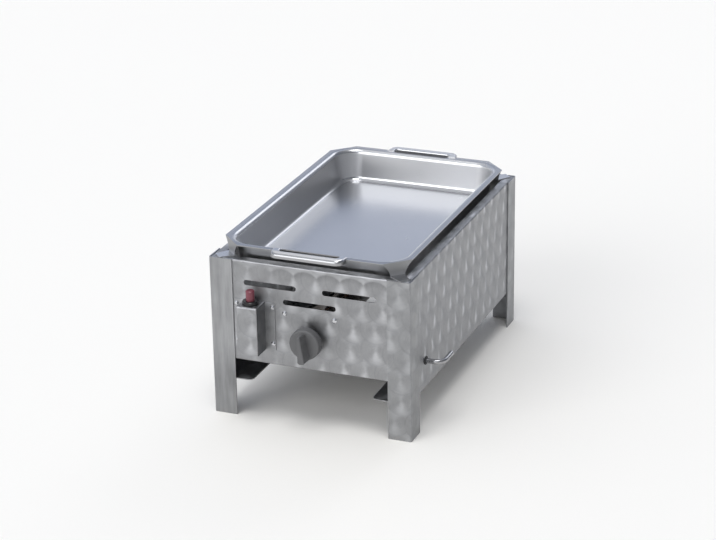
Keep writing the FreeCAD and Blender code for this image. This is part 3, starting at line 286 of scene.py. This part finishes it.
def painted_highlight_fan(graph, place, du, dv, mark, spread):
    """The bright fan of a disc, a painted highlight: narrow at its apex, wider downwards by spread,
    swaying a little.
    """
    aside = graph.math("ABSOLUTE", graph.vary(du, graph.noise(place, 50.0), FAN_SWAY))
    below = graph.minus(FAN_APEX, dv)
    half_width = graph.gain(FAN_TIP, graph.math("MAXIMUM", below, 0.0), spread)
    return graph.times(
        graph.span(graph.math("DIVIDE", aside, half_width), 1.0, 0.0, smooth=True),
        graph.span(below, 0.0, FAN_FULL, smooth=True),
        graph.span(below, FAN_END, FAN_FADES, smooth=True),
        graph.span(mark, 0.0, 1.0, FAN_FAINTEST, 1.0),
    )


def painted_top_outline(graph, u, v, pitch, start, seed, top_row):
    """The uppermost row's outline, painted: -1 of shade just inside its rounded tops, up to 0.6 of
    highlight above them, 0 elsewhere.
    """
    shift = row_shift(graph, 0.0, pitch, start, seed)
    column = graph.math("FRACT", graph.math("DIVIDE", graph.minus(u, shift), pitch))
    beside = graph.times(graph.minus(column, 0.5), pitch)
    reach = graph.vector("LENGTH", graph.join(beside, graph.minus(v, top_row - TOP_ARCH), 0.0))
    outside = graph.span(reach, 0.95 * TOP_ARCH, 1.05 * TOP_ARCH)
    inside = graph.times(
        graph.span(reach, 0.6 * TOP_ARCH, 0.92 * TOP_ARCH),
        graph.minus(outside, 1.0),
        graph.span(v, top_row - TOP_INSIDE[0], top_row - TOP_INSIDE[1]),
    )
    above = graph.span(v, top_row - TOP_OUTSIDE[0], top_row - TOP_OUTSIDE[1], 0.0, 0.6)
    return graph.math("ADD", inside, graph.times(outside, above))


def turned_steel(name, tone, painted_highlight_strength, start, seed, pitch=DISC_PITCH, spread=0.40, crown=0.0,
                 highlights_fade_left_of=None, top_row=None, side_painted_shade=1.0):
    """Engine-turned sheet steel: rows of overlapping brushed discs, each with a bright fan of painted
    highlight.

    Its level flange may be crowned outwards. Left of a given x the light catches less of the sheet, so
    there the painted fans and painted tops fade. With top_row the rounded tops of the uppermost discs show,
    up to that height, as painted shade just inside them and painted highlight above. Faces that look
    sideways may take a darker tone, a painted shade."""
    graph = Graph(name)
    place, u, v, faces_side, faces_up = sheet_axes(graph)
    du, dv, mark = brushed_discs(graph, u, v, pitch, start, seed)
    reach = graph.math("MAXIMUM", graph.vector("LENGTH", graph.join(du, dv, 0.0)), DISC_HUB)
    angle = graph.math("ARCTAN2", dv, du)
    lines = graph.stretched_noise(graph.join(reach, angle, mark), LINE_SCALES)
    fan = painted_highlight_fan(graph, place, du, dv, mark, spread)
    painted_light_share = 1.0
    # Left of the given x the painted fans and tops fade, where the light catches less of the sheet
    if highlights_fade_left_of is not None:
        painted_light_share = graph.span(u, highlights_fade_left_of - FADED_WIDTH, highlights_fade_left_of, FADED_SHARE, 1.0)
        fan = graph.times(fan, painted_light_share)
    disc_rim = graph.span(reach, 0.8 * DISC_RADIUS, DISC_RADIUS, smooth=True)
    clouds = graph.noise(place, 22.0, 4.0, 0.6)
    blotches = graph.noise(place, 90.0, 3.0, 0.6)
    worn = graph.edges(SHEET_WEAR)

    # Painted highlight: each disc's fan brightens the colour as a glint would
    shade = graph.gain(1.0, fan, FAN_PAINTED_HIGHLIGHT * painted_highlight_strength)
    shade = graph.gain(shade, disc_rim, -0.06)
    shade = graph.vary(shade, lines, 0.3)
    shade = graph.vary(shade, clouds, 0.34)
    shade = graph.vary(shade, blotches, 0.24)
    # Painted shade just inside the uppermost discs' tops and painted highlight above them
    if top_row is not None:
        tops = painted_top_outline(graph, u, v, pitch, start, seed, top_row)
        shade = graph.gain(shade, graph.times(tops, painted_light_share), 0.2)
    # Painted shade: faces that look sideways are darkened, as the box's sides turned from the light
    shade = graph.times(shade, graph.mix(faces_side, 1.0, side_painted_shade))
    shade = graph.gain(shade, worn, 0.25)

    roughness = graph.vary(0.44, lines, 0.2)
    roughness = graph.vary(roughness, clouds, 0.2)
    roughness = graph.gain(roughness, worn, -0.08)

    radial_u = graph.math("DIVIDE", du, reach)
    radial_v = graph.math("DIVIDE", dv, reach)
    tangent = on_sheet(graph, radial_u, radial_v, faces_side, faces_up)
    graph.set(metallic=1.0, base_color=graph.tint(tone, shade), roughness=roughness)
    graph.set(anisotropic=0.6, tangent=tangent)
    graph.bump(lines, 0.03 * MM, 0.3)
    if crown:
        outwards = graph.times(graph.math("SIGN", graph.split(place)[0]), crown)
        graph.lean(graph.join(graph.times(outwards, faces_up), 0.0, 0.0))
    return graph.material


def brushed_steel(name, tone, grain_scale, rough, anisotropic=0.5, mottle=0.16, foot_tone=1.0):
    """Steel brushed lengthwise along the height, duller towards the floor where a foot tone is given."""
    graph = Graph(name)
    place, normal = graph.place()
    height = graph.split(place)[2]
    lines = graph.stretched_noise(place, (grain_scale, grain_scale, 4.0))
    streaks = graph.stretched_noise(place, (110.0, 110.0, 11.0), 0.6)
    clouds = graph.noise(place, 11.0, 4.0)
    worn = graph.edges(SHEET_WEAR)

    shade = graph.vary(1.0, lines, 0.16)
    shade = graph.vary(shade, clouds, mottle)
    shade = graph.vary(shade, streaks, mottle)
    shade = graph.times(shade, graph.span(height, 0.0, FOOT_HEIGHT, foot_tone, 1.0))
    shade = graph.gain(shade, worn, 0.22)

    roughness = graph.vary(rough, lines, 0.15)
    roughness = graph.vary(roughness, clouds, 0.08)

    graph.set(metallic=1.0, base_color=graph.tint(tone, shade), roughness=roughness)
    graph.set(anisotropic=anisotropic, tangent=graph.across_grain(normal, UPRIGHT_GRAIN))
    graph.bump(lines, 0.02 * MM, 0.3)
    return graph.material


def satin_pan(name, tone, rough, bend_rough, outer_wall_painted_shade, lip_painted_shade, rim_top_painted_shade):
    """Drawn satin steel of the pan: bends rubbed bright, end flanges drooping, with tones of painted shade
    for the outer walls, the rim's outer lip and the rim's top."""
    graph = Graph(name)
    place, normal = graph.place()
    y, z = graph.split(place)[1:3]
    across, deep, up = graph.split(graph.vector("ABSOLUTE", normal))
    at_rim = graph.span(z, *RIM_HEIGHT)
    on_top = graph.times(graph.span(z, *TOP_HEIGHT), graph.span(up, 0.9, 0.97))
    outward = graph.vector("DOT_PRODUCT", graph.vector("MULTIPLY", place, (1.0, 1.0, 0.0)), normal)
    lengthwise = graph.stretched_noise(place, (700.0, 4.0, 700.0))
    upright = graph.stretched_noise(place, (700.0, 700.0, 4.0))
    lines = graph.mix(graph.math("GREATER_THAN", deep, 0.6), lengthwise, upright)
    clouds = graph.noise(place, 11.0, 4.0)

    shade = graph.vary(1.0, lines, 0.03)
    shade = graph.vary(shade, clouds, 0.1)
    shade = graph.gain(shade, graph.edges(SHEET_WEAR), 0.22)
    # Painted shade: the outer walls, the rim's outer lip and the rim's top take darker tones of their own
    outside_painted_shade = graph.mix(at_rim, outer_wall_painted_shade, lip_painted_shade)
    shade = graph.times(shade, graph.span(outward, *OUTER_WALL, 1.0, outside_painted_shade))
    shade = graph.times(shade, graph.mix(on_top, 1.0, rim_top_painted_shade))

    leaning = graph.times(graph.span(up, 0.28, 0.42), graph.span(up, 0.985, 0.94))
    bend = graph.times(leaning, graph.math("MAXIMUM", at_rim, graph.span(deep, 0.2, 0.35)))
    corner = graph.span(graph.times(across, deep), 0.08, 0.3)
    roughness = graph.mix(graph.span(up, 0.97, 0.995), rough, 0.9 * rough)
    roughness = graph.mix(corner, roughness, 1.7 * rough)
    roughness = graph.mix(bend, roughness, graph.mix(at_rim, bend_rough, 2 * bend_rough))
    roughness = graph.vary(roughness, lines, 0.03)
    roughness = graph.vary(roughness, clouds, 0.06)

    graph.set(metallic=1.0, base_color=graph.tint(tone, shade), roughness=roughness)
    graph.set(anisotropic=0.2, tangent=graph.across_grain(normal, LENGTHWISE_GRAIN))
    graph.bump(lines, 0.02 * MM, 0.02)
    droop = graph.math(
        "ADD",
        graph.span(graph.math("ABSOLUTE", y), *END_FLANGE, 0.0, 0.15),
        graph.span(y, *HANDLE_BAR, 0.0, 0.5),
    )
    graph.lean(graph.join(0.0, graph.times(droop, graph.math("SIGN", y), on_top), 0.0))
    return graph.material


def cast_metal(name, tone, rough, tarnish):
    """Machined or heat-stained metal: base tone with darker patches and rubbed edges."""
    graph = Graph(name)
    place = graph.place()[0]
    patches = graph.noise(place, 60.0, 5.0, 0.6)
    grit = graph.noise(place, 2500.0)
    rubbed = tuple(min(1.0, 1.35 * part) for part in tone)
    colour = graph.blend(graph.span(patches, 0.42, 0.68), tone, tarnish)
    colour = graph.blend(graph.times(graph.edges(METAL_WEAR), 0.6), colour, rubbed)
    graph.set(metallic=1.0, base_color=colour, roughness=graph.vary(rough, patches, 0.35))
    graph.bump(grit, 0.02 * MM, 0.4)
    return graph.material


def moulded(name, tone, rough, grain=0.03 * MM):
    """Moulded plastic, rubber or glazed ceramic with a fine grain and rubbed edges."""
    graph = Graph(name)
    place = graph.place()[0]
    grit = graph.noise(place, 1400.0, 3.0)
    clouds = graph.noise(place, 45.0, 3.0)
    shade = graph.vary(1.0, clouds, 0.22)
    shade = graph.vary(shade, grit, 0.16)
    shade = graph.gain(shade, graph.edges(PLASTIC_WEAR), 0.25)
    graph.set(base_color=graph.tint(tone, shade), roughness=graph.vary(rough, clouds, 0.18))
    graph.bump(grit, grain, 0.5)
    return graph.material


# Materials
STEEL = (0.364, 0.369, 0.379)
SHEET_STEEL = (0.338, 0.342, 0.353)
SIDE_STEEL = (0.325, 0.329, 0.342)
LEG_SHEET_STEEL = (0.325, 0.330, 0.340)
FRONT_START = (-27 * MM, 246 * MM)

turned = turned_steel(
    "turned_steel_sheet", SHEET_STEEL, 1.3, FRONT_START, 3.0, highlights_fade_left_of=-25 * MM, top_row=256.5 * MM
)
# The box's sideways faces take a painted shade
turned_box = turned_steel("turned_steel_box", SHEET_STEEL, 1.0, FRONT_START, 3.0, side_painted_shade=0.6)
turned_side = turned_steel(
    "turned_steel_sides", SIDE_STEEL, 2.3, (10 * MM, 236 * MM), 5.0, pitch=36 * MM, spread=0.24, crown=0.3
)
turned_leg = turned_steel(
    "turned_steel_leg", LEG_SHEET_STEEL, 0.65, (142.5 * MM, 240 * MM), 9.0, pitch=40 * MM
)
leg_plain = brushed_steel("brushed_leg_steel", STEEL, 900.0, 0.40, mottle=0.8, foot_tone=0.84)
pan_steel = satin_pan(
    "satin_pan_steel", (0.57, 0.575, 0.59), 0.29, 0.13, outer_wall_painted_shade=0.95, lip_painted_shade=0.6, rim_top_painted_shade=0.74
)
# The handles take a lighter copy of the pan steel: a painted highlight on their bright rolled bars
handle_steel_painted_highlight = satin_pan(
    "satin_handle_steel_painted_highlight", (0.62, 0.625, 0.64), 0.29, 0.13, outer_wall_painted_shade=1.0, lip_painted_shade=0.65, rim_top_painted_shade=1.0
)

SLOT_MATERIALS = {
    "turned_steel": turned,
    "leg_steel": leg_plain,
    "pan_steel": pan_steel,
    "knob_plastic": moulded("knob_plastic_grey", (0.107, 0.108, 0.111), 0.5),
    "button_plastic": moulded("button_plastic_red", (0.18, 0.042, 0.06), 0.32, 0.005 * MM),
    "black_plastic": moulded("collar_plastic_black", (0.006, 0.0055, 0.007), 0.3, 0.01 * MM),
    "screw_steel": brushed_steel("bright_screw_steel", (0.62, 0.63, 0.65), 1200.0, 0.22, anisotropic=0.2),
    "pipe_steel": brushed_steel("drawn_pipe_steel", (0.40, 0.40, 0.41), 1500.0, 0.25, anisotropic=0.4),
    "bush_rubber": moulded("bush_rubber_black", (0.02, 0.02, 0.021), 0.65),
    "brass": cast_metal("machined_brass", (0.62, 0.45, 0.18), 0.32, (0.40, 0.27, 0.10)),
    "copper": cast_metal("drawn_copper", (0.34, 0.19, 0.13), 0.36, (0.20, 0.11, 0.08)),
    "ceramic": moulded("glazed_ceramic", (0.78, 0.76, 0.70), 0.25, 0.004 * MM),
    "burner_steel": cast_metal("heat_stained_steel", (0.26, 0.25, 0.25), 0.42, (0.14, 0.12, 0.11)),
}
NODE_MATERIALS = {
    "left_side_panel": turned_side,
    "right_side_panel": turned_side,
    "leg_front_right": turned_leg,
    "leg_rear_right": turned_leg,
    "leg_rear_left": turned_leg,
    "pan_handle_front": handle_steel_painted_highlight,
    "pan_handle_rear": handle_steel_painted_highlight,
    "igniter_housing": turned_box,
}
for node in nodes.values():
    for slot in node.material_slots:
        slot.material = SLOT_MATERIALS[slot.material.name.split(".")[0]]
for name, material in NODE_MATERIALS.items():
    nodes[name].material_slots[0].material = material

# Floor: a warm white under the cool sky
FLOOR_SIZE = 60.0
FLOOR_WHITE = (0.96, 0.94, 0.895)

bpy.ops.mesh.primitive_plane_add(size=FLOOR_SIZE, location=(0.0, 0.0, 0.0))
floor = bpy.context.object
floor.name = "floor"
paper = Graph("floor_paper")
paper_shade = paper.span(paper.noise(paper.place()[0], 300.0), 0.0, 1.0, 0.985, 1.015)
paper.set(base_color=paper.tint(FLOOR_WHITE, paper_shade), roughness=0.9)
floor.data.materials.append(paper.material)

# World: a soft studio with a dark screen at the right, cooler behind, dimmer and cooler above
SKY_HEIGHT = [(-0.05, WHITE), (0.22, WHITE), (0.40, (0.60, 0.64, 0.72)), (1.00, (0.78, 0.79, 0.82))]
SKY_ACROSS = [(0.0, WHITE), (0.45, (0.36, 0.36, 0.36))]
SKY_DEPTH = [(0.1, WHITE), (0.7, (0.86, 0.90, 1.0))]

world = bpy.data.worlds.new("studio")
bpy.context.scene.world = world
world.use_nodes = True
sky = world.node_tree
background = sky.nodes["Background"]
direction = sky.nodes.new("ShaderNodeTexCoord")
parts = sky.nodes.new("ShaderNodeSeparateXYZ")
sky.links.new(direction.outputs["Generated"], parts.inputs[0])


def sky_ramp(axis, stops):
    """Colours along one axis of the direction looked in, from -1 to 1."""
    spread = sky.nodes.new("ShaderNodeMapRange")
    spread.inputs["From Min"].default_value = -1.0
    sky.links.new(parts.outputs[axis], spread.inputs["Value"])
    ramp = sky.nodes.new("ShaderNodeValToRGB")
    ramp.color_ramp.interpolation = "EASE"
    sky.links.new(spread.outputs["Result"], ramp.inputs[0])
    while len(ramp.color_ramp.elements) < len(stops):
        ramp.color_ramp.elements.new(0.5)
    for element, (position, colour) in zip(ramp.color_ramp.elements, stops):
        element.position = 0.5 + 0.5 * position
        element.color = (*colour, 1.0)
    return ramp.outputs["Color"]


def sky_product(first, second):
    """Two skies multiplied."""
    product = sky.nodes.new("ShaderNodeVectorMath")
    product.operation = "MULTIPLY"
    sky.links.new(first, product.inputs[0])
    sky.links.new(second, product.inputs[1])
    return product.outputs["Vector"]


screened = sky_product(sky_ramp("Z", SKY_HEIGHT), sky_ramp("X", SKY_ACROSS))
sky.links.new(sky_product(screened, sky_ramp("Y", SKY_DEPTH)), background.inputs["Color"])


def soft_lamp(name, towards, energy, angle):
    """A broad soft light at a great distance, in the direction given from the object."""
    lamp = bpy.data.lights.new(name, "SUN")
    lamp.energy = energy
    lamp.angle = math.radians(angle)
    holder = bpy.data.objects.new(name, lamp)
    bpy.context.scene.collection.objects.link(holder)
    holder.rotation_mode = "QUATERNION"
    holder.rotation_quaternion = Vector(towards).to_track_quat("Z", "Y")


soft_lamp("key", (-0.40, -0.83, 0.42), energy=0.92, angle=42.0)
soft_lamp("overhead", (0.05, -0.22, 0.97), energy=1.04, angle=28.0)
soft_lamp("back", (0.18, 0.83, 0.53), energy=0.18, angle=22.0)

# Camera: place in metres, angles in degrees, lens and sensor in millimetres
CAMERA_PLACE = (1.23395, -3.08759, 1.50821)
CAMERA_TURN = 22.11659
CAMERA_TILT = 21.98426
CAMERA_ROLL = -0.98904
CAMERA_LENS = 111.18
SENSOR_WIDTH = 36.0

camera_data = bpy.data.cameras.new("camera")
camera_data.lens = CAMERA_LENS
camera_data.sensor_width = SENSOR_WIDTH
camera = bpy.data.objects.new("camera", camera_data)
bpy.context.scene.collection.objects.link(camera)
camera.location = CAMERA_PLACE
yaw = Matrix.Rotation(math.radians(CAMERA_TURN), 3, "Z")
pitch = Matrix.Rotation(math.radians(90 - CAMERA_TILT), 3, "X")
roll = Matrix.Rotation(math.radians(CAMERA_ROLL), 3, "Z")
camera.rotation_mode = "QUATERNION"
camera.rotation_quaternion = (yaw @ pitch @ roll).to_quaternion()
bpy.context.scene.camera = camera
bpy.context.scene.view_settings.view_transform = "Standard"
